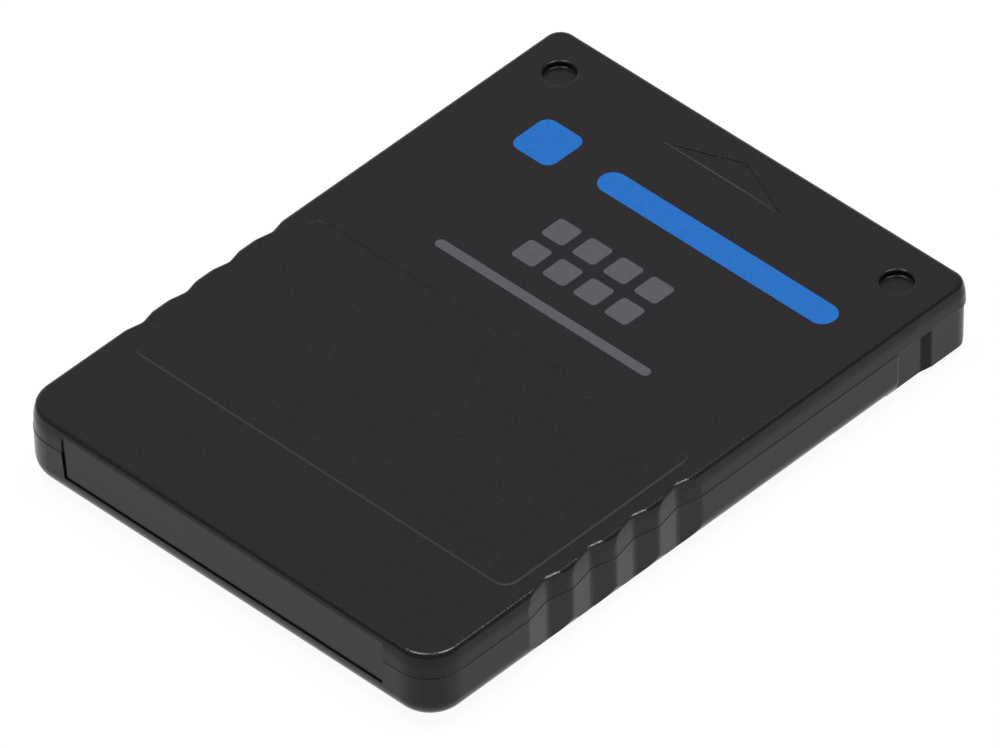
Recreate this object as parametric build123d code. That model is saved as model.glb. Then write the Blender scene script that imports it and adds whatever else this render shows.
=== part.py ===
from build123d import *
import os

# Console memory card, in millimetres: X across the card, Y towards the contact end, Z up.
# The origin is under the middle of the card, on the surface that it lies on.

# Overall size
CARD_WIDTH = 43.0
CARD_LENGTH = 58.2
CARD_HEIGHT = 6.5
COVER_HEIGHT = 2.1
BACK_CORNER_RADIUS = 3.2
FRONT_CORNER_RADIUS = 1.6
COVER_EDGE_RADIUS = 0.43
CASE_EDGE_RADIUS = 1.8
COVER_LEAN = 0.04
SHOULDER_BELOW_TOP = 0.9
SHOULDER_DRAW_IN = 0.225
SHOULDER_BEND = 0.32
SHOULDER_STEPS = 4
CASE_LEAN = 0.08

# Seam between the two shells: the cover stands back a little and both edges are broken
SEAM_STEP = 0.03
SEAM_ROUND = 0.03
SEAM_BEVEL = 0.02

# Walls
SIDE_WALL = 1.13
END_WALL = 1.2
FLOOR = 1.2
ROOF = 1.1

# Finger grips: shallow waves along both long sides
GRIP_COUNT = 4
GRIP_PITCH = 4.58
GRIP_DEPTH = 0.52
GRIP_LEAN = 0.1
GRIP_FALL = 2.45
GRIP_ROUND = 1.0
GRIP_FROM_BACK = 10.4
GRIP_TOP_ROUND = 0.2

# Label recess in the top
LABEL_MARGIN = 1.9
LABEL_LENGTH = 20.1
LABEL_FROM_BACK = 10.0
LABEL_CORNER = 1.3
LABEL_DEPTH = 0.06
LABEL_RIM = 0.24

# Sunken arrow that points to the contact end
ARROW_WIDTH = 12.2
ARROW_LENGTH = 2.55
ARROW_FROM_FRONT = 2.05
ARROW_DEPTH = 0.1
ARROW_RIM = 0.09
ARROW_BASE_RIM = 0.22

# Round dimples at the front corners, with the posts that hold the board down below them
DIMPLE_DIAMETER = 2.65
DIMPLE_DEPTH = 0.52
DIMPLE_FROM_SIDE = 4.05
DIMPLE_FROM_FRONT = 4.2
DIMPLE_RIM = 0.16
DIMPLE_BOTTOM_ROUND = 0.1
HOLD_DOWN_DIAMETER = 2.0

# Flap of the cover that closes the back end
FLAP_MARGIN = 4.85
FLAP_RECESS = 0.15
FLAP_BELOW_TOP = 0.55
FLAP_SILL = 2.0
FLAP_GAP = 0.15
FLAP_SILL_GAP = 0.02
FLAP_SILL_ROUND = 0.03
FLAP_DRAW_IN = 0.2
FLAP_CORNER = 0.4

# Nose of the case, which goes into the slot, with a latch notch in each side
NOSE_LENGTH = 8.2
NOSE_RISE = 0.45
NOSE_INSET = 0.22
NOSE_LEAN = 0.12
NOSE_BEVEL = 1.0
BODY_END_ROUND = 0.3
NOSE_EDGE_RISE = 0.12
NOSE_EDGE_INSET = 0.06
LATCH_DEPTH = 0.23
LATCH_FLOOR = 2.65
LATCH_RAMP = 1.1

# Connector mouth under the front of the board, with a rib between the groups of contacts
MOUTH_LENGTH = 7.6
MOUTH_RIB = 0.8
LIP_GAP = 0.2
PAD_GROUPS = (3, 3, 2)
PAD_WIDTH = 2.5
PAD_LENGTH = 5.0
PAD_THICKNESS = 0.05
PAD_FROM_EDGE = 0.5

# Circuit board, its shelves at the front and its pins at the back
BOARD_THICKNESS = 1.0
BOARD_LENGTH = 44.0
BOARD_SIDE_ROOM = 1.4
BOARD_BELOW_SEAM = 1.1
BOARD_CLEARANCE = 0.15
BOARD_SHELF = 2.0
PIN_DIAMETER = 1.6
PIN_CLEARANCE = 0.1
PIN_FROM_EDGE = 2.2
PIN_STAND = 0.3
POST_DIAMETER = 4.0

# Snap tongues on the cover and the pockets that they catch in
TONGUE_WIDTH = 5.0
TONGUE_THICKNESS = 0.8
TONGUE_GAP = 0.1
TONGUE_REACH = 1.6
TONGUE_FROM_BACK = (5.0, 37.0)
NIB_BITE = 0.25
NIB_HEIGHT = 0.6
NIB_CLEARANCE = 0.1

# Chips on the underside of the board: places are across the card and back from the board's front edge
CHIP_STANDOFF = 0.1
CHIP_BEVEL = 0.12
CONTROLLER_SIZE = (10.0, 10.0, 1.2)
CONTROLLER_PLACE = (-9.0, 16.5)
CONTROLLER_LEAD_COUNT = 16
FLASH_SIZE = (18.4, 12.0, 1.0)
FLASH_PLACE = (3.0, 33.5)
FLASH_LEAD_COUNT = 24
LEAD_PITCH = 0.5
LEAD_WIDTH = 0.22
LEAD_THICKNESS = 0.15
LEAD_SHOULDER = 0.3
LEAD_REACH = 1.0
LEAD_FOOT = 0.5

# Small parts on the underside of the board
RESONATOR_SIZE = (6.0, 2.2, 1.2)
RESONATOR_PLACE = (10.0, 14.5)
CAPACITOR_SIZE = (2.0, 1.25, 0.85)
CAPACITOR_PLACES = ((0.0, 14.0), (0.0, 19.0), (-9.5, 30.0), (-9.5, 37.0))
RESISTOR_SIZE = (1.6, 0.8, 0.45)
RESISTOR_COUNT = 6
RESISTOR_FIRST = (-1.0, 9.0)
RESISTOR_PITCH = 2.5
END_CAP = 0.3
END_CAP_PROUD = 0.04

# Levels and lines that several pieces share
SEAM_Z = CARD_HEIGHT - COVER_HEIGHT
SHOULDER_Z = CARD_HEIGHT - SHOULDER_BELOW_TOP
ROOF_Z = CARD_HEIGHT - LABEL_DEPTH - ROOF
BOARD_Z = SEAM_Z - BOARD_BELOW_SEAM
BOARD_TOP_Z = BOARD_Z + BOARD_THICKNESS
BACK_Y = -CARD_LENGTH / 2
FRONT_Y = CARD_LENGTH / 2
NOSE_Y = FRONT_Y - NOSE_LENGTH
MOUTH_Y = FRONT_Y - MOUTH_LENGTH
CAVITY_X = CARD_WIDTH / 2 - GRIP_DEPTH - SIDE_WALL
CAVITY_BACK = BACK_Y + END_WALL
CAVITY_FRONT = FRONT_Y - END_WALL
BOARD_X = CAVITY_X - BOARD_SIDE_ROOM
BOARD_FRONT = CAVITY_FRONT - BOARD_CLEARANCE
BOARD_BACK = BOARD_FRONT - BOARD_LENGTH
MOUTH_X = BOARD_X - BOARD_SHELF
FLAP_X = CARD_WIDTH / 2 - FLAP_MARGIN
DIMPLE_X = CARD_WIDTH / 2 - DIMPLE_FROM_SIDE
DIMPLE_Y = FRONT_Y - DIMPLE_FROM_FRONT
PIN_X = BOARD_X - PIN_FROM_EDGE
PIN_Y = BOARD_BACK + PIN_FROM_EDGE
TONGUE_Y = [BACK_Y + distance for distance in TONGUE_FROM_BACK]
SIDES = (-1, 1)

# Turns, in degrees, of the rows of legs round a chip
FOUR_SIDES = (0, 90, 180, 270)
TWO_ENDS = (0, 180)

# How far a cutter runs past the face that it opens, and how near two points count as one
PAST = 1.0
TOUCH = 1e-4


def block(x_range, y_range, z_range):
    """A box between two values on each axis."""
    ranges = (x_range, y_range, z_range)
    sizes = [abs(high - low) for low, high in ranges]
    middles = [(low + high) / 2 for low, high in ranges]
    return Pos(*middles) * Box(*sizes)


def centred(half):
    """The range from minus to plus one value."""
    return (-half, half)


def column(x, y, radius, z_range):
    """An upright cylinder between two heights."""
    low, high = z_range
    return Pos(x, y, (low + high) / 2) * Cylinder(radius, high - low)


def prism(face, z_range):
    """A flat face drawn up between two heights."""
    low, high = z_range
    return Pos(0, 0, low) * extrude(face, amount=high - low)


def drafted(outline, levels):
    """A solid with leaning walls: an outline drawn with one inset for each height."""
    faces = [Pos(0, 0, z) * outline(inset) for z, inset in levels]
    return loft(faces, ruled=True)


def rounded(face, places, radius):
    """The face with its corners at the given places rounded."""
    picked = []
    for vertex in face.vertices():
        if any(abs(vertex.X - x) < TOUCH and abs(vertex.Y - y) < TOUCH for x, y in places):
            picked.append(vertex)
    return fillet(picked, radius)


def bottom_edges(solid):
    return solid.faces().sort_by(Axis.Z)[0].edges()


def top_edges(solid):
    return solid.faces().sort_by(Axis.Z)[-1].edges()


def mirrored_outline(right):
    """A closed face from the points of its right side, given from back to front."""
    left = [(-x, y) for x, y in reversed(right)]
    return make_face(Polyline(*right, *left, close=True))


def grip_points(half_width):
    """The crests and valleys of the grips along one side, from back to front."""
    first = BACK_Y + GRIP_FROM_BACK
    points = [(half_width, first)]
    for wave in range(GRIP_COUNT):
        start = first + wave * GRIP_PITCH
        points.append((half_width - GRIP_DEPTH, start + GRIP_FALL))
        points.append((half_width, start + GRIP_PITCH))
    return points


def shell_outline(inset):
    """The card seen from above without its grips, drawn in by the inset."""
    half = CARD_WIDTH / 2 - inset
    end = CARD_LENGTH / 2 - inset
    face = mirrored_outline([(half, -end), (half, end)])
    face = rounded(face, [(side * half, -end) for side in SIDES], BACK_CORNER_RADIUS - inset)
    return rounded(face, [(side * half, end) for side in SIDES], FRONT_CORNER_RADIUS - inset)


def cover_levels():
    """The cover's wall as heights with an inset: nearly upright, then bent in softly towards the top."""
    below = SHOULDER_BEND / (SHOULDER_Z - SEAM_Z)
    above = SHOULDER_BEND / SHOULDER_BELOW_TOP
    bend = SEAM_STEP + COVER_LEAN
    low = (SHOULDER_Z - SHOULDER_BEND, bend - COVER_LEAN * below)
    high = (SHOULDER_Z + SHOULDER_BEND, bend + SHOULDER_DRAW_IN * above)
    levels = [(SEAM_Z, SEAM_STEP)]
    for step in range(SHOULDER_STEPS + 1):
        share = step / SHOULDER_STEPS
        weights = ((1 - share) ** 2, 2 * share * (1 - share), share**2)
        z = weights[0] * low[0] + weights[1] * SHOULDER_Z + weights[2] * high[0]
        inset = weights[0] * low[1] + weights[1] * bend + weights[2] * high[1]
        levels.append((z, inset))
    levels.append((CARD_HEIGHT, bend + SHOULDER_DRAW_IN))
    return levels


def grip_face(side, inset):
    """What the grips take off one straight side, seen from above, drawn in by the inset."""
    half = CARD_WIDTH / 2 - inset
    waves = grip_points(half)
    start = waves[0][1] - GRIP_ROUND
    end = waves[-1][1] + GRIP_ROUND
    points = [(half + PAST, start), (half, start), *waves, (half, end), (half + PAST, end)]
    face = make_face(Polyline(*[(side * x, y) for x, y in points], close=True))
    return rounded(face, [(side * x, y) for x, y in waves], GRIP_ROUND)


def cover_grips(side):
    """What the grips take off the cover: it leans with the wall and opens softly at the top."""
    lean = COVER_LEAN / (SHOULDER_Z - SEAM_Z)
    top = SEAM_STEP + GRIP_LEAN
    soft = 0.3 * GRIP_TOP_ROUND
    levels = [
        (SEAM_Z - PAST, SEAM_STEP - lean * PAST),
        (SHOULDER_Z, SEAM_STEP + COVER_LEAN),
        (CARD_HEIGHT - GRIP_TOP_ROUND, top),
        (CARD_HEIGHT - soft, top + soft),
        (CARD_HEIGHT, top + GRIP_TOP_ROUND),
        (CARD_HEIGHT + PAST, top + GRIP_TOP_ROUND),
    ]
    return drafted(lambda inset: grip_face(side, inset), levels)


def case_grips(side):
    """What the grips take off the case: it leans with the wall."""
    lean = CASE_LEAN / SEAM_Z
    levels = [(-PAST, CASE_LEAN + lean * PAST), (SEAM_Z + PAST, -lean * PAST)]
    return drafted(lambda inset: grip_face(side, inset), levels)


def nose_outline(inset):
    """The nose seen from above, drawn in by the inset, with a latch notch in each side."""
    half = CARD_WIDTH / 2 - NOSE_INSET - inset
    floor = half - LATCH_DEPTH
    front = FRONT_Y - inset
    ramp_start = NOSE_Y + LATCH_FLOOR
    right = [
        (floor, NOSE_Y - PAST),
        (floor, ramp_start),
        (half, ramp_start + LATCH_RAMP),
        (half, front),
    ]
    face = mirrored_outline(right)
    return rounded(face, [(side * half, front) for side in SIDES], FRONT_CORNER_RADIUS - inset)


def nose_edge():
    """The fine bevel along the lower edge of the cover over the nose."""
    low = SEAM_STEP + NOSE_EDGE_INSET
    slope = NOSE_EDGE_INSET / NOSE_EDGE_RISE
    levels = [
        (SEAM_Z - PAST, low + slope * PAST),
        (SEAM_Z + NOSE_EDGE_RISE, SEAM_STEP),
    ]
    ring = block(centred(CARD_WIDTH), (NOSE_Y, FRONT_Y + PAST), (SEAM_Z - PAST, SEAM_Z + NOSE_EDGE_RISE))
    return ring - drafted(shell_outline, levels)


def flap_face(inset, low, high):
    """The flap seen from the back, drawn in by the inset: its ends draw in below the seam."""
    half = FLAP_X - inset
    low_half = half - FLAP_DRAW_IN * (SEAM_Z - low) / (SEAM_Z - FLAP_SILL)
    right = [(low_half, low), (half, SEAM_Z), (half, high)]
    return mirrored_outline(right)


def from_back(face, y_front, y_back):
    """A face seen from the back, drawn out between two places along the card."""
    return Pos(0, y_front, 0) * extrude(Plane.XZ * face, amount=y_front - y_back)


def flap_recess():
    """The shallow field in the cover's back wall that the flap carries on from."""
    back = BACK_Y + SEAM_STEP
    top = CARD_HEIGHT - FLAP_BELOW_TOP
    low = SEAM_Z - PAST
    corners = [(FLAP_X, top), (-FLAP_X, top)]
    face = make_face(Polyline((-FLAP_X, low), (FLAP_X, low), *corners, close=True))
    face = rounded(face, corners, FLAP_CORNER)
    return from_back(face, back + FLAP_RECESS, back - PAST)


def sunken(outline, depth, rim):
    """What a shallow field with a sloping rim takes off the top; the outline is drawn with an inset."""
    slope = rim / depth
    low = Pos(0, 0, CARD_HEIGHT - depth) * outline(rim)
    high = Pos(0, 0, CARD_HEIGHT + depth) * outline(rim - 2 * depth * slope)
    return loft([low, high], ruled=True)


def label_outline(inset):
    """The field for a label, drawn in by the inset."""
    width = CARD_WIDTH - 2 * LABEL_MARGIN - 2 * inset
    length = LABEL_LENGTH - 2 * inset
    middle = BACK_Y + LABEL_FROM_BACK + LABEL_LENGTH / 2
    return Pos(0, middle) * RectangleRounded(width, length, LABEL_CORNER - inset)


def arrow_outline(inset):
    """The triangle that shows which end goes in, drawn in by the inset."""
    side_length = ((ARROW_WIDTH / 2) ** 2 + ARROW_LENGTH**2) ** 0.5
    base = FRONT_Y - ARROW_FROM_FRONT - ARROW_LENGTH + inset * ARROW_BASE_RIM / ARROW_RIM
    tip = FRONT_Y - ARROW_FROM_FRONT - inset * side_length / (ARROW_WIDTH / 2)
    half = (tip - base) * ARROW_WIDTH / 2 / ARROW_LENGTH
    return make_face(Polyline((-half, base), (half, base), (0, tip), close=True))


def dimple(x):
    """One round blind hole with a rounded bottom."""
    hole = column(x, DIMPLE_Y, DIMPLE_DIAMETER / 2, (CARD_HEIGHT - DIMPLE_DEPTH, CARD_HEIGHT + PAST))
    return fillet(bottom_edges(hole), DIMPLE_BOTTOM_ROUND)


def rim_edges(solid, x_range, y_range):
    """The edges in the top face whose middle lies in a field of it."""
    picked = []
    for edge in solid.edges():
        middle = edge.bounding_box().center()
        inside = x_range[0] < middle.X < x_range[1] and y_range[0] < middle.Y < y_range[1]
        if inside and edge.bounding_box().min.Z > CARD_HEIGHT - TOUCH:
            picked.append(edge)
    return picked


def upright_edges(solid, y):
    """The edges that run up the sides at one place along the card."""
    picked = []
    for edge in solid.edges():
        box = edge.bounding_box()
        here = max(abs(box.min.Y - y), abs(box.max.Y - y)) < TOUCH
        if here and box.size.Z > PAST and box.size.X < CASE_LEAN:
            picked.append(edge)
    return picked


def sill_edge(solid):
    """The outer edge of the sill under the flap."""
    picked = []
    for edge in solid.edges():
        box = edge.bounding_box()
        level = max(abs(box.min.Z - FLAP_SILL), abs(box.max.Z - FLAP_SILL)) < TOUCH
        if level and box.max.Y < BACK_Y + CASE_LEAN and box.size.X > FLAP_X:
            picked.append(edge)
    return picked


def around(middle, half):
    """The range to both sides of a value."""
    return (middle - half, middle + half)


def tongue(side, y):
    """One snap tongue that hangs from the roof beside the board, with its nib."""
    outer = CAVITY_X - TONGUE_GAP
    low = SEAM_Z - TONGUE_REACH
    along = (y - TONGUE_WIDTH / 2, y + TONGUE_WIDTH / 2)
    blade = block((side * (outer - TONGUE_THICKNESS), side * outer), along, (low, ROOF_Z + TOUCH))
    nib = block((side * outer, side * (CAVITY_X + NIB_BITE)), along, (low, low + NIB_HEIGHT))
    return blade + nib


def tongue_pocket(side, y):
    """The pocket in the case wall that a nib catches under."""
    low = SEAM_Z - TONGUE_REACH - NIB_CLEARANCE
    half = TONGUE_WIDTH / 2 + NIB_CLEARANCE
    reach = CAVITY_X + NIB_BITE + NIB_CLEARANCE
    high = SEAM_Z - TONGUE_REACH + NIB_HEIGHT
    return block((side * (CAVITY_X - TONGUE_GAP), side * reach), (y - half, y + half), (low, high))


def top_cover():
    """The upper shell: roof, rim, flap, front lip, posts and snap tongues."""
    back = BACK_Y + SEAM_STEP
    front = FRONT_Y - SEAM_STEP - NOSE_EDGE_INSET
    cover = drafted(shell_outline, cover_levels())
    cover = fillet(top_edges(cover), COVER_EDGE_RADIUS)
    for side in SIDES:
        cover -= cover_grips(side)
    cover = fillet(bottom_edges(cover), SEAM_ROUND)
    cover -= nose_edge()
    cover -= block(centred(CAVITY_X), (CAVITY_BACK, CAVITY_FRONT), (SEAM_Z - PAST, ROOF_Z))
    cover -= flap_recess()
    flap = flap_face(FLAP_GAP, FLAP_SILL + FLAP_SILL_GAP, ROOF_Z)
    cover += from_back(flap, CAVITY_BACK, back + FLAP_RECESS)
    cover += block(centred(MOUTH_X - LIP_GAP), (CAVITY_FRONT, front), (BOARD_Z, SEAM_Z + NOSE_EDGE_RISE))
    for side in SIDES:
        hold_down = column(side * DIMPLE_X, DIMPLE_Y, HOLD_DOWN_DIAMETER / 2, (BOARD_TOP_Z, ROOF_Z + TOUCH))
        cover += hold_down
        ring = column(side * PIN_X, PIN_Y, POST_DIAMETER / 2, (BOARD_TOP_Z, ROOF_Z + TOUCH))
        ring -= column(side * PIN_X, PIN_Y, PIN_DIAMETER / 2 + PIN_CLEARANCE, (BOARD_TOP_Z, ROOF_Z))
        cover += ring
        for y in TONGUE_Y:
            cover += tongue(side, y)
        cover -= dimple(side * DIMPLE_X)
        near = DIMPLE_DIAMETER
        rim = rim_edges(cover, around(side * DIMPLE_X, near), around(DIMPLE_Y, near))
        cover = fillet(rim, DIMPLE_RIM)
    cover -= sunken(label_outline, LABEL_DEPTH, LABEL_RIM)
    cover -= sunken(arrow_outline, ARROW_DEPTH, ARROW_RIM)
    return cover


def rib_places():
    """The middle of each rib of the mouth, and the middle of each contact."""
    contacts = sum(PAD_GROUPS)
    ribs = len(PAD_GROUPS) - 1
    cell = (2 * MOUTH_X - ribs * MOUTH_RIB) / contacts
    rib_middles = []
    pad_middles = []
    x = -MOUTH_X
    for number, count in enumerate(PAD_GROUPS):
        for place in range(count):
            pad_middles.append(x + cell * (place + 0.5))
        x += cell * count
        if number < ribs:
            rib_middles.append(x + MOUTH_RIB / 2)
            x += MOUTH_RIB
    return rib_middles, pad_middles


def bottom_case():
    """The lower shell: tub, nose, connector mouth, board posts and snap pockets."""
    body = drafted(shell_outline, [(0, CASE_LEAN), (SEAM_Z, 0)])
    body = fillet(bottom_edges(body), CASE_EDGE_RADIUS)
    for side in SIDES:
        body -= case_grips(side)
    body = chamfer(top_edges(body), SEAM_BEVEL)
    body -= block(centred(CARD_WIDTH), (NOSE_Y, FRONT_Y + PAST), (-PAST, SEAM_Z + PAST))
    body = fillet(upright_edges(body, NOSE_Y), BODY_END_ROUND)
    nose = drafted(nose_outline, [(NOSE_RISE, NOSE_LEAN), (SEAM_Z, 0)])
    bevel = Polyline(
        (FRONT_Y - NOSE_BEVEL, NOSE_RISE),
        (FRONT_Y + PAST, NOSE_RISE + NOSE_BEVEL + PAST),
        (FRONT_Y + PAST, NOSE_RISE),
        close=True,
    )
    nose -= extrude(Plane.YZ * make_face(bevel), amount=CARD_WIDTH, both=True)
    nose = chamfer(top_edges(nose), SEAM_BEVEL)
    case = body + nose
    above = SEAM_Z + PAST
    case -= block(centred(CAVITY_X), (CAVITY_BACK, MOUTH_Y - END_WALL), (FLOOR, above))
    case -= from_back(flap_face(0, FLAP_SILL, above), CAVITY_BACK + TOUCH, BACK_Y - PAST)
    case = fillet(sill_edge(case), FLAP_SILL_ROUND)
    pocket_x = BOARD_X + BOARD_CLEARANCE
    case -= block(centred(pocket_x), (MOUTH_Y - END_WALL - TOUCH, CAVITY_FRONT), (BOARD_Z, above))
    case -= block(centred(MOUTH_X), (MOUTH_Y, FRONT_Y + PAST), (-PAST, above))
    rib_front = FRONT_Y - NOSE_BEVEL
    for x in rib_places()[0]:
        across = (x - MOUTH_RIB / 2, x + MOUTH_RIB / 2)
        case += block(across, (MOUTH_Y - TOUCH, rib_front), (NOSE_RISE, BOARD_Z))
    for side in SIDES:
        case += column(side * PIN_X, PIN_Y, POST_DIAMETER / 2, (FLOOR - TOUCH, BOARD_Z))
        case += column(side * PIN_X, PIN_Y, PIN_DIAMETER / 2, (BOARD_Z - TOUCH, BOARD_TOP_Z + PIN_STAND))
        for y in TONGUE_Y:
            case -= tongue_pocket(side, y)
    return case


def circuit_board():
    """The board, with a hole for each pin."""
    board = block(centred(BOARD_X), (BOARD_BACK, BOARD_FRONT), (BOARD_Z, BOARD_TOP_Z))
    for side in SIDES:
        hole_z = (BOARD_Z - PAST, BOARD_TOP_Z + PAST)
        board -= column(side * PIN_X, PIN_Y, PIN_DIAMETER / 2 + PIN_CLEARANCE, hole_z)
    return board


def contact_pad(x):
    """One plated contact on the underside of the board."""
    front = BOARD_FRONT - PAD_FROM_EDGE
    across = (x - PAD_WIDTH / 2, x + PAD_WIDTH / 2)
    return block(across, (front - PAD_LENGTH, front), (BOARD_Z - PAD_THICKNESS, BOARD_Z))


def on_board(place):
    """The position under the board of a place given from its front edge."""
    across, from_front = place
    return Pos(across, BOARD_FRONT - from_front, BOARD_Z)


def chip(size, place):
    """A moulded chip body that hangs just under the board, with drafted edges."""
    length, width, height = size
    body = Pos(0, 0, -CHIP_STANDOFF - height / 2) * Box(length, width, height)
    body = chamfer(bottom_edges(body), CHIP_BEVEL)
    return on_board(place) * body


def lead(start, height):
    """One bent leg along X, from a chip's side up to the board's underside."""
    half = LEAD_THICKNESS / 2
    middle = -CHIP_STANDOFF - height / 2
    shoulder = start + LEAD_SHOULDER
    toe = start + LEAD_REACH
    heel = toe - LEAD_FOOT
    points = [
        (start, middle - half),
        (shoulder, middle - half),
        (heel, -LEAD_THICKNESS),
        (toe, -LEAD_THICKNESS),
        (toe, 0),
        (heel, 0),
        (shoulder, middle + half),
        (start, middle + half),
    ]
    face = Plane.XZ * make_face(Polyline(*points, close=True))
    return extrude(face, amount=LEAD_WIDTH / 2, both=True)


def lead_row(start, height, count, turn):
    """A row of legs along one side of a chip, turned to that side."""
    leg = lead(start, height)
    first = -(count - 1) / 2 * LEAD_PITCH
    return [Rot(0, 0, turn) * Pos(0, first + number * LEAD_PITCH, 0) * leg for number in range(count)]


def leads(size, place, count, turns):
    """All legs of a chip, as one group of separate solids."""
    length, width, height = size
    legs = []
    for turn in turns:
        start = length / 2 if turn % 180 == 0 else width / 2
        legs += lead_row(start, height, count, turn)
    return Compound([on_board(place) * leg.solid() for leg in legs])


def capped(size, place):
    """A small part with a soldered cap at each end, flat on the board's underside."""
    length, width, height = size
    body = Pos(0, 0, -height / 2) * Box(length - 2 * END_CAP, width, height)
    for side in SIDES:
        middle = side * (length - END_CAP) / 2
        cap_height = height + END_CAP_PROUD
        body += Pos(middle, 0, -cap_height / 2) * Box(END_CAP, width + 2 * END_CAP_PROUD, cap_height)
    return on_board(place) * body


def all_parts():
    """Every piece of the card, by name."""
    parts = {
        "top_cover": top_cover(),
        "bottom_case": bottom_case(),
        "circuit_board": circuit_board(),
        "controller_chip": chip(CONTROLLER_SIZE, CONTROLLER_PLACE),
        "controller_leads": leads(CONTROLLER_SIZE, CONTROLLER_PLACE, CONTROLLER_LEAD_COUNT, FOUR_SIDES),
        "flash_chip": chip(FLASH_SIZE, FLASH_PLACE),
        "flash_leads": leads(FLASH_SIZE, FLASH_PLACE, FLASH_LEAD_COUNT, TWO_ENDS),
        "clock_resonator": capped(RESONATOR_SIZE, RESONATOR_PLACE),
    }
    for number, x in enumerate(rib_places()[1], start=1):
        parts[f"contact_pad_{number}"] = contact_pad(x)
    for number, place in enumerate(CAPACITOR_PLACES, start=1):
        parts[f"capacitor_{number}"] = capped(CAPACITOR_SIZE, place)
    first_x, from_front = RESISTOR_FIRST
    for number in range(RESISTOR_COUNT):
        place = (first_x + number * RESISTOR_PITCH, from_front)
        parts[f"resistor_{number + 1}"] = capped(RESISTOR_SIZE, place)
    return parts


def main():
    os.makedirs("parts", exist_ok=True)
    for name, solid in all_parts().items():
        solid.label = name
        export_step(solid, f"parts/{name}.step")


main()
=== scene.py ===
import math

import bmesh
import bpy
from mathutils import Matrix, Vector


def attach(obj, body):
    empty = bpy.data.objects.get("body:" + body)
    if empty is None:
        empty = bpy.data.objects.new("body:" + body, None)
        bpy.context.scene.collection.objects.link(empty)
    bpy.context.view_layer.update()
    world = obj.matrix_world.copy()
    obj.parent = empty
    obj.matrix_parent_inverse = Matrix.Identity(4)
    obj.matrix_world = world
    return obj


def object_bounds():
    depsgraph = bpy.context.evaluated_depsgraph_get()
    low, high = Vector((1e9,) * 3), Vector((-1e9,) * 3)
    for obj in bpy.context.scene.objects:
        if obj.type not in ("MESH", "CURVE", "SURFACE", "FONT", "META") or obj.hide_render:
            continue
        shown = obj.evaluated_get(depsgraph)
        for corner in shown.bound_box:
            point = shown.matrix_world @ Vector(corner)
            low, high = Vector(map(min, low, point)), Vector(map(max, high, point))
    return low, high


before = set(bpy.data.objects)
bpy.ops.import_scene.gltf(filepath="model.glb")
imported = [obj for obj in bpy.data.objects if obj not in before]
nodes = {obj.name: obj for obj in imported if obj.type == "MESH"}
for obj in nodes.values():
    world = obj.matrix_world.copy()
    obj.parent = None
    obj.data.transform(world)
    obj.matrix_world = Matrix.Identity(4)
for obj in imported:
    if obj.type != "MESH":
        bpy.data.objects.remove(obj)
cad_low, cad_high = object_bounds()
scene = bpy.context.scene

MM = 0.001

# Camera: the angles and distance of the photograph
CAMERA_AZIMUTH = 45.356
CAMERA_ELEVATION = 42.064
CAMERA_ROLL = -1.857
CAMERA_DISTANCE = 1472.8 * MM
CAMERA_LENS = 711.13
CAMERA_SENSOR = 36.0
CAMERA_CLIP = (0.1, 20.0)
AIM_ALONG_CARD = 12.81 * MM
AIM_RIGHT = -8.603 * MM
AIM_UP = -8.811 * MM

# Ramps of the latch notches, which get rougher plastic and painted shade: along the card, out from its
# middle, and up to the seam
LATCH_RAMP_Y = 24.1 * MM
LATCH_RAMP_HALF = 0.56 * MM
LATCH_RAMP_FADE = 0.18 * MM
LATCH_RAMP_X = 21.1 * MM
LATCH_RAMP_X_HALF = 0.4 * MM
HALF_SEAM_HEIGHT = 2.2 * MM

# Shell plastic: colours from darker to lighter, and its noise fields in waves per metre
SPECK_LIMITS = (0.32, 0.68)
SHELL_TINTS = ((0.0062, 0.0051, 0.0062), (0.0102, 0.0084, 0.0101))
# The second pair of tints is darker and paints shade onto the latch notch ramps
SHELL_RAMP_SHADE_TINTS = ((0.0031, 0.0026, 0.0029), (0.0050, 0.0044, 0.0048))
SHELL_ROUGHNESS = (0.20, 0.23)
SHELL_DULL_ROUGHNESS = (0.60, 0.70)
SHELL_GLOSS = 0.225
SHELL_CLOUD_SCALE = 140.0
SHELL_SPECK_SCALE = 4600.0
SHELL_SPECK_DEPTH = 0.022 * MM
SHELL_RIPPLE_SCALE = 420.0
SHELL_RIPPLE_DEPTH = 0.004 * MM
SHELL_EDGE_RADIUS = 0.025 * MM
EDGE_SAMPLES = 8

# Colours of the inner pieces, from darker to lighter
MASK_GREENS = ((0.010, 0.085, 0.035), (0.018, 0.125, 0.050))
CONTACT_GOLDS = ((0.66, 0.46, 0.16), (0.83, 0.62, 0.27))
EPOXY_BLACKS = ((0.010, 0.010, 0.010), (0.018, 0.018, 0.019))
TIN_GREYS = ((0.50, 0.50, 0.49), (0.70, 0.70, 0.68))
RESONATOR_COAT = ((0.45, 0.19, 0.03), (0.55, 0.25, 0.05))
CAPACITOR_BODY = ((0.20, 0.11, 0.05), (0.27, 0.16, 0.08))
RESISTOR_BODY = ((0.010, 0.010, 0.012), (0.020, 0.020, 0.022))
END_CAP_TIN = (0.62, 0.62, 0.60, 1.0)
END_CAP_SHARE = 0.15
CONTACT_COUNT = 8
CAPACITOR_COUNT = 4
RESISTOR_COUNT = 6

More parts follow.
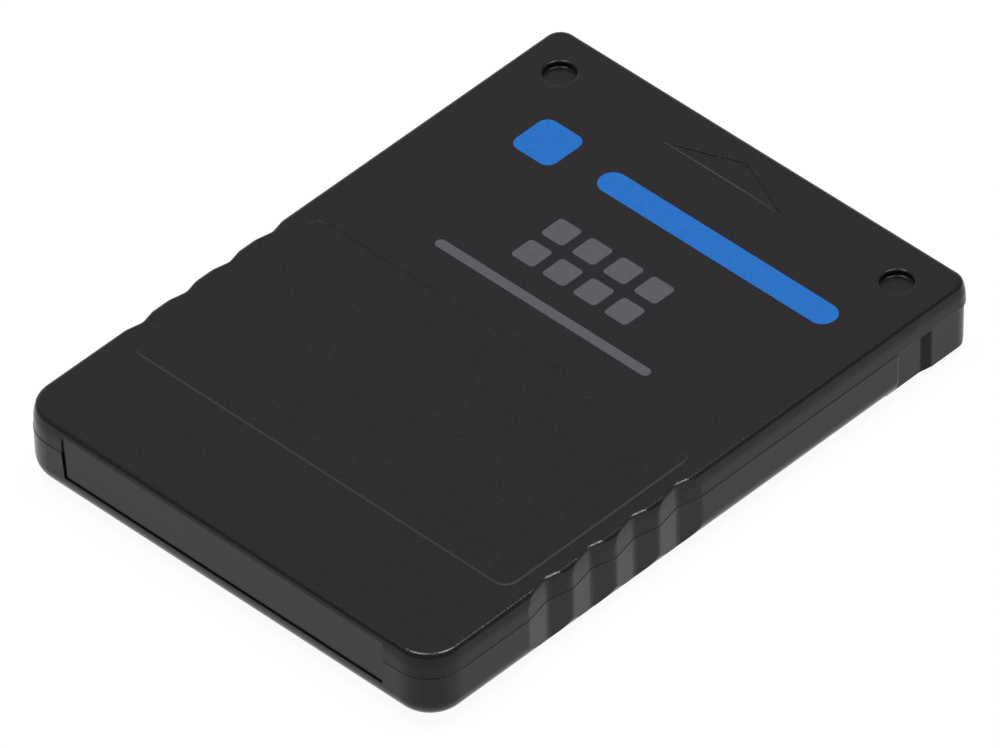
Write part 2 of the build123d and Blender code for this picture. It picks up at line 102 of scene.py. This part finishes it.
# Print on the top face: one plain bar and square in blue, a block pictogram and a line in grey.
# A shape is its middle across and along the card, its width, height and corner radius, in millimetres.
PRINT_STAND = 0.008 * MM
PRINT_SINK = 0.004 * MM
PRINT_CORNER_STEPS = 6
INK_BLUE = (0.0010, 0.092, 0.345)
INK_GREY = (0.055, 0.055, 0.064)
INK_SHADE = 0.88
INK_GLOSS = 0.2
BLUE_SQUARE = (-12.6, 18.6, 4.2, 4.2, 0.9)
BLUE_BAR = (5.0, 18.6, 24.0, 2.4, 1.19)
GREY_LINE = (0.0, 5.0, 22.0, 0.9, 0.44)
BLOCKS_MIDDLE = (0.0, 10.4)
BLOCK_COLUMNS = 4
BLOCK_ROWS = 2
BLOCK_SIZE = 2.3
BLOCK_GAP = 0.9
BLOCK_CORNER = 0.35

# Stage: the greys of the sweep and the ground are pairs of a position and a grey
FLOOR_HALF = 4.0
FLOOR_WHITE = (0.92, 0.92, 0.92, 1.0)
FLOOR_ROUGHNESS = 0.9
FLOOR_GLOW = 0.94
SWEEP_DIRECTION = (-0.85, 0.53, 0.0)
SWEEP_GREYS = ((0.35, 0.34), (0.73, 0.52), (0.95, 1.0))
GROUND_GREYS = ((0.02, 1.0), (0.05, 0.0))

# Round lamps, both alike, with the direction from the card to each
SOFTBOX_DISTANCE = 0.5
SOFTBOX_SIZE = 0.15
SOFTBOX_POWER = 1.65
SOFTBOXES = {
    "front_softbox": (0.077, 0.285, 0.956),
    "back_softbox": (-0.214, -0.072, 0.974),
}


def material(name):
    """A new node material and its principled shader."""
    made = bpy.data.materials.new(name)
    made.use_nodes = True
    return made, made.node_tree.nodes["Principled BSDF"]


def link(tree, source, target):
    tree.links.new(source, target)


def object_coordinates(tree):
    return tree.nodes.new("ShaderNodeTexCoord").outputs["Object"]


def split(tree, vector):
    """The X, Y and Z parts of a vector field."""
    node = tree.nodes.new("ShaderNodeSeparateXYZ")
    link(tree, vector, node.inputs["Vector"])
    return node.outputs


def stretched(tree, coordinates, factors):
    """The coordinates stretched along the axes."""
    node = tree.nodes.new("ShaderNodeMapping")
    node.inputs["Scale"].default_value = factors
    link(tree, coordinates, node.inputs["Vector"])
    return node.outputs["Vector"]


def noise(tree, coordinates, scale, detail=2.0):
    """A noise field over the surface, sized in 1/m."""
    node = tree.nodes.new("ShaderNodeTexNoise")
    node.inputs["Scale"].default_value = scale
    node.inputs["Detail"].default_value = detail
    link(tree, coordinates, node.inputs["Vector"])
    return node.outputs["Fac"]


def ramp(tree, value, limits, colours):
    """A field turned into a blend of two colours between two of its values."""
    node = tree.nodes.new("ShaderNodeValToRGB")
    for step, position, colour in zip(node.color_ramp.elements, limits, colours):
        step.position = position
        step.color = (*colour, 1.0)
    link(tree, value, node.inputs["Fac"])
    return node.outputs["Color"]


def graded(tree, value, stops):
    """A field turned into a run of greys, one for each position."""
    node = tree.nodes.new("ShaderNodeValToRGB")
    steps = node.color_ramp.elements
    while len(steps) < len(stops):
        steps.new(0.5)
    for step, (position, grey) in zip(steps, stops):
        step.position = position
        step.color = (grey, grey, grey, 1.0)
    link(tree, value, node.inputs["Fac"])
    return node.outputs["Color"]


def spread(tree, value, limits):
    """A field from 0 to 1 turned into a range of numbers."""
    node = tree.nodes.new("ShaderNodeMapRange")
    node.inputs["To Min"].default_value = limits[0]
    node.inputs["To Max"].default_value = limits[1]
    link(tree, value, node.inputs["Value"])
    return node.outputs["Result"]


def bump(tree, height, distance, strength, below=None):
    """A relief of the given depth in metres, over another one if given."""
    node = tree.nodes.new("ShaderNodeBump")
    node.inputs["Distance"].default_value = distance
    node.inputs["Strength"].default_value = strength
    link(tree, height, node.inputs["Height"])
    if below is not None:
        link(tree, below, node.inputs["Normal"])
    return node.outputs["Normal"]


def soft_edges(tree, radius):
    """Normals that turn over an edge instead of breaking at it."""
    node = tree.nodes.new("ShaderNodeBevel")
    node.samples = EDGE_SAMPLES
    node.inputs["Radius"].default_value = radius
    return node.outputs["Normal"]


def worked_out(tree, operation, *terms):
    """The result of an operation on fields and fixed numbers."""
    node = tree.nodes.new("ShaderNodeMath")
    node.operation = operation
    for term, socket in zip(terms, node.inputs):
        if isinstance(term, float):
            socket.default_value = term
        else:
            link(tree, term, socket)
    return node.outputs["Value"]


def fading(tree, value, middle, half, fade):
    """1 in the middle of a range, falling softly to 0 at its ends."""
    apart = worked_out(tree, "SUBTRACT", value, middle)
    node = tree.nodes.new("ShaderNodeMapRange")
    node.interpolation_type = "SMOOTHSTEP"
    node.inputs["From Min"].default_value = half
    node.inputs["From Max"].default_value = half - fade
    link(tree, worked_out(tree, "ABSOLUTE", apart), node.inputs["Value"])
    return node.outputs["Result"]


def blended(tree, factor, kind, below, above):
    """One field where the factor is 0 and another where it is 1."""
    node = tree.nodes.new("ShaderNodeMix")
    node.data_type = kind
    places = {"FLOAT": (2, 3, 0), "RGBA": (6, 7, 2)}[kind]
    link(tree, factor, node.inputs[0])
    link(tree, below, node.inputs[places[0]])
    link(tree, above, node.inputs[places[1]])
    return node.outputs[places[2]]


def latch_ramps(tree, coordinates):
    """1 on the ramps of the two latch notches, which get rougher plastic and darker colours as painted
    shade, otherwise 0.
    """
    place = split(tree, coordinates)
    from_middle = worked_out(tree, "ABSOLUTE", place["X"])
    across = worked_out(tree, "COMPARE", from_middle, LATCH_RAMP_X, LATCH_RAMP_X_HALF)
    along = fading(tree, place["Y"], LATCH_RAMP_Y, LATCH_RAMP_HALF, LATCH_RAMP_FADE)
    below_seam = worked_out(tree, "COMPARE", place["Z"], HALF_SEAM_HEIGHT, HALF_SEAM_HEIGHT)
    return worked_out(tree, "MULTIPLY", worked_out(tree, "MULTIPLY", across, along), below_seam)


def shell_plastic():
    """Charcoal moulded plastic with a fine spark-eroded grain, and painted shade on the latch notch
    ramps.
    """
    made, shader = material("shell_plastic")
    tree = made.node_tree
    place = object_coordinates(tree)
    cloud = noise(tree, place, SHELL_CLOUD_SCALE, 3.0)
    speck = noise(tree, place, SHELL_SPECK_SCALE)
    # The latch ramps are made rougher, and their colours darker as painted shade
    ramp_matte_and_shade = latch_ramps(tree, place)
    tint = ramp(tree, speck, SPECK_LIMITS, SHELL_TINTS)
    ramp_shade_tint = ramp(tree, speck, SPECK_LIMITS, SHELL_RAMP_SHADE_TINTS)
    link(tree, blended(tree, ramp_matte_and_shade, "RGBA", tint, ramp_shade_tint), shader.inputs["Base Color"])
    smooth = spread(tree, cloud, SHELL_ROUGHNESS)
    rough = spread(tree, cloud, SHELL_DULL_ROUGHNESS)
    link(tree, blended(tree, ramp_matte_and_shade, "FLOAT", smooth, rough), shader.inputs["Roughness"])
    shader.inputs["Specular IOR Level"].default_value = SHELL_GLOSS
    swell = noise(tree, place, SHELL_RIPPLE_SCALE)
    ripple = bump(tree, swell, SHELL_RIPPLE_DEPTH, 0.5, soft_edges(tree, SHELL_EDGE_RADIUS))
    link(tree, bump(tree, speck, SHELL_SPECK_DEPTH, 0.5, ripple), shader.inputs["Normal"])
    return made


def ink(name, colour):
    """Screen printing ink, a little uneven."""
    made, shader = material(name)
    tree = made.node_tree
    cover = noise(tree, object_coordinates(tree), 2600.0)
    darker = tuple(INK_SHADE * part for part in colour)
    link(tree, ramp(tree, cover, (0.35, 0.65), (darker, colour)), shader.inputs["Base Color"])
    link(tree, spread(tree, cover, (0.40, 0.52)), shader.inputs["Roughness"])
    shader.inputs["Specular IOR Level"].default_value = INK_GLOSS
    link(tree, bump(tree, cover, 0.006 * MM, 0.4), shader.inputs["Normal"])
    return made


def solder_mask():
    """Green lacquer over copper tracks."""
    made, shader = material("solder_mask")
    tree = made.node_tree
    place = object_coordinates(tree)
    tracks = noise(tree, stretched(tree, place, (900.0, 40.0, 900.0)), 1.0, 0.0)
    link(tree, ramp(tree, tracks, (0.48, 0.52), MASK_GREENS), shader.inputs["Base Color"])
    link(tree, spread(tree, noise(tree, place, 800.0), (0.25, 0.40)), shader.inputs["Roughness"])
    link(tree, bump(tree, tracks, 0.03 * MM, 0.4), shader.inputs["Normal"])
    return made


def contact_gold():
    """Gold plating with wiping marks along the card."""
    made, shader = material("contact_gold")
    tree = made.node_tree
    place = object_coordinates(tree)
    wipe = noise(tree, stretched(tree, place, (9000.0, 250.0, 9000.0)), 1.0)
    link(tree, ramp(tree, wipe, (0.35, 0.7), CONTACT_GOLDS), shader.inputs["Base Color"])
    shader.inputs["Metallic"].default_value = 1.0
    link(tree, spread(tree, wipe, (0.2, 0.42)), shader.inputs["Roughness"])
    link(tree, bump(tree, wipe, 0.006 * MM, 0.4), shader.inputs["Normal"])
    return made


def chip_epoxy():
    """Black moulding compound of the chips."""
    made, shader = material("chip_epoxy")
    tree = made.node_tree
    grain = noise(tree, object_coordinates(tree), 7000.0)
    link(tree, ramp(tree, grain, (0.3, 0.7), EPOXY_BLACKS), shader.inputs["Base Color"])
    link(tree, spread(tree, grain, (0.5, 0.65)), shader.inputs["Roughness"])
    link(tree, bump(tree, grain, 0.01 * MM, 0.5), shader.inputs["Normal"])
    return made


def tinned_metal():
    """Tinned legs, dull with small bright patches."""
    made, shader = material("tinned_metal")
    tree = made.node_tree
    patch = noise(tree, object_coordinates(tree), 3000.0, 3.0)
    link(tree, ramp(tree, patch, (0.35, 0.65), TIN_GREYS), shader.inputs["Base Color"])
    shader.inputs["Metallic"].default_value = 1.0
    link(tree, spread(tree, patch, (0.25, 0.45)), shader.inputs["Roughness"])
    return made


def capped_body(name, colours):
    """A small part: a coated body between two tinned ends."""
    made, shader = material(name)
    tree = made.node_tree
    place = tree.nodes.new("ShaderNodeTexCoord")
    grain = noise(tree, place.outputs["Object"], 4000.0)
    body = ramp(tree, grain, (0.3, 0.7), colours)
    along = split(tree, place.outputs["Generated"])["X"]
    from_end = worked_out(tree, "PINGPONG", along, 0.5)
    is_end = worked_out(tree, "LESS_THAN", from_end, END_CAP_SHARE)
    blend = tree.nodes.new("ShaderNodeMix")
    blend.data_type = "RGBA"
    blend.inputs["B"].default_value = END_CAP_TIN
    link(tree, is_end, blend.inputs["Factor"])
    link(tree, body, blend.inputs["A"])
    link(tree, blend.outputs["Result"], shader.inputs["Base Color"])
    link(tree, is_end, shader.inputs["Metallic"])
    link(tree, spread(tree, grain, (0.35, 0.5)), shader.inputs["Roughness"])
    return made


def dress(made, *names):
    """Gives the material to CAD nodes."""
    for name in names:
        slots = nodes[name].data.materials
        slots.clear()
        slots.append(made)


def numbered(stem, count):
    return [f"{stem}_{number}" for number in range(1, count + 1)]


def make_materials():
    dress(shell_plastic(), "top_cover", "bottom_case")
    dress(solder_mask(), "circuit_board")
    dress(contact_gold(), *numbered("contact_pad", CONTACT_COUNT))
    dress(chip_epoxy(), "controller_chip", "flash_chip")
    dress(tinned_metal(), "controller_leads", "flash_leads")
    dress(capped_body("resonator_coat", RESONATOR_COAT), "clock_resonator")
    dress(capped_body("capacitor_body", CAPACITOR_BODY), *numbered("capacitor", CAPACITOR_COUNT))
    dress(capped_body("resistor_body", RESISTOR_BODY), *numbered("resistor", RESISTOR_COUNT))


def rounded_rectangle(x, y, width, height, radius):
    """Outline points of a rectangle with round corners, in millimetres, turning left."""
    points = []
    corners = ((1, 1), (-1, 1), (-1, -1), (1, -1))
    for quarter, (side_x, side_y) in enumerate(corners):
        middle_x = x + side_x * (width / 2 - radius)
        middle_y = y + side_y * (height / 2 - radius)
        for step in range(PRINT_CORNER_STEPS + 1):
            angle = math.pi / 2 * (quarter + step / PRINT_CORNER_STEPS)
            points.append((middle_x + radius * math.cos(angle), middle_y + radius * math.sin(angle)))
    return points


def block_pictogram():
    """A grid of small rounded squares, as plain storage blocks."""
    shapes = []
    pitch = BLOCK_SIZE + BLOCK_GAP
    for row in range(BLOCK_ROWS):
        for column in range(BLOCK_COLUMNS):
            x = BLOCKS_MIDDLE[0] + (column - (BLOCK_COLUMNS - 1) / 2) * pitch
            y = BLOCKS_MIDDLE[1] + (row - (BLOCK_ROWS - 1) / 2) * pitch
            shapes.append(rounded_rectangle(x, y, BLOCK_SIZE, BLOCK_SIZE, BLOCK_CORNER))
    return shapes


def printed(name, shapes, made):
    """A printed layer: thin closed plates on the top face."""
    low = cad_high.z - PRINT_SINK
    high = cad_high.z + PRINT_STAND
    work = bmesh.new()
    for points in shapes:
        bottom = [work.verts.new((x * MM, y * MM, low)) for x, y in points]
        top = [work.verts.new((x * MM, y * MM, high)) for x, y in points]
        work.faces.new(list(reversed(bottom)))
        work.faces.new(top)
        for number in range(len(points)):
            following = (number + 1) % len(points)
            work.faces.new((bottom[number], bottom[following], top[following], top[number]))
    mesh = bpy.data.meshes.new(name)
    work.to_mesh(mesh)
    work.free()
    piece = bpy.data.objects.new(name, mesh)
    scene.collection.objects.link(piece)
    mesh.materials.append(made)
    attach(piece, "root")


def make_print():
    blue_shapes = [rounded_rectangle(*BLUE_SQUARE), rounded_rectangle(*BLUE_BAR)]
    grey_shapes = block_pictogram() + [rounded_rectangle(*GREY_LINE)]
    printed("print_blue", blue_shapes, ink("ink_blue", INK_BLUE))
    printed("print_grey", grey_shapes, ink("ink_grey", INK_GREY))


def make_floor():
    """A white floor that shows white to the camera and in reflections, and takes a soft shadow."""
    mesh = bpy.data.meshes.new("floor")
    corners = ((-1, -1), (1, -1), (1, 1), (-1, 1))
    mesh.from_pydata([(x * FLOOR_HALF, y * FLOOR_HALF, 0.0) for x, y in corners], [], [(0, 1, 2, 3)])
    floor = bpy.data.objects.new("floor", mesh)
    scene.collection.objects.link(floor)
    made, shader = material("floor_white")
    tree = made.node_tree
    shader.inputs["Base Color"].default_value = FLOOR_WHITE
    shader.inputs["Roughness"].default_value = FLOOR_ROUGHNESS
    shader.inputs["Specular IOR Level"].default_value = 0.0
    glow = tree.nodes.new("ShaderNodeEmission")
    path = tree.nodes.new("ShaderNodeLightPath")
    either = path.outputs["Is Camera Ray"]
    for kind in ("Is Glossy Ray", "Is Transmission Ray"):
        either = worked_out(tree, "MAXIMUM", either, path.outputs[kind])
    share = worked_out(tree, "MULTIPLY", either, FLOOR_GLOW)
    blend = tree.nodes.new("ShaderNodeMixShader")
    link(tree, share, blend.inputs["Fac"])
    link(tree, shader.outputs["BSDF"], blend.inputs[1])
    link(tree, glow.outputs["Emission"], blend.inputs[2])
    link(tree, blend.outputs["Shader"], tree.nodes["Material Output"].inputs["Surface"])
    mesh.materials.append(made)


def make_world():
    """A dim studio with a white sweep beyond the card and a white ground."""
    world = bpy.data.worlds.new("studio")
    scene.world = world
    world.use_nodes = True
    tree = world.node_tree
    direction = tree.nodes.new("ShaderNodeTexCoord").outputs["Generated"]
    towards_sweep = tree.nodes.new("ShaderNodeVectorMath")
    towards_sweep.operation = "DOT_PRODUCT"
    towards_sweep.inputs[1].default_value = SWEEP_DIRECTION
    link(tree, direction, towards_sweep.inputs[0])
    sweep = graded(tree, towards_sweep.outputs["Value"], SWEEP_GREYS)
    ground = graded(tree, split(tree, direction)["Z"], GROUND_GREYS)
    lighter = tree.nodes.new("ShaderNodeMix")
    lighter.data_type = "RGBA"
    lighter.blend_type = "LIGHTEN"
    lighter.inputs["Factor"].default_value = 1.0
    link(tree, sweep, lighter.inputs["A"])
    link(tree, ground, lighter.inputs["B"])
    link(tree, lighter.outputs["Result"], tree.nodes["Background"].inputs["Color"])


def make_lights():
    """Round area lamps that look at the card."""
    for name, direction in SOFTBOXES.items():
        lamp = bpy.data.lights.new(name, "AREA")
        lamp.shape = "DISK"
        lamp.size = SOFTBOX_SIZE
        lamp.energy = SOFTBOX_POWER
        holder = bpy.data.objects.new(name, lamp)
        towards = Vector(direction).normalized()
        holder.location = towards * SOFTBOX_DISTANCE
        holder.rotation_mode = "QUATERNION"
        holder.rotation_quaternion = towards.to_track_quat("Z", "Y")
        scene.collection.objects.link(holder)


def make_camera():
    """The camera of the photograph, aimed at a point off the card's top."""
    azimuth = math.radians(CAMERA_AZIMUTH)
    elevation = math.radians(CAMERA_ELEVATION)
    roll = math.radians(CAMERA_ROLL)
    back = Vector((
        math.sin(azimuth) * math.cos(elevation),
        -math.cos(azimuth) * math.cos(elevation),
        math.sin(elevation),
    ))
    level = Vector((math.cos(azimuth), math.sin(azimuth), 0.0))
    upright = back.cross(level)
    right = math.cos(roll) * level + math.sin(roll) * upright
    up = math.cos(roll) * upright - math.sin(roll) * level
    aim = Vector((0.0, AIM_ALONG_CARD, cad_high.z)) + AIM_RIGHT * right + AIM_UP * up
    data = bpy.data.cameras.new("camera")
    data.lens = CAMERA_LENS
    data.sensor_fit = "HORIZONTAL"
    data.sensor_width = CAMERA_SENSOR
    data.clip_start, data.clip_end = CAMERA_CLIP
    camera = bpy.data.objects.new("camera", data)
    turn = Matrix((right, up, back)).transposed().to_4x4()
    camera.matrix_world = Matrix.Translation(aim + CAMERA_DISTANCE * back) @ turn
    scene.collection.objects.link(camera)
    scene.camera = camera


make_materials()
make_print()
make_floor()
make_world()
make_lights()
make_camera()
scene.view_settings.view_transform = "Standard"
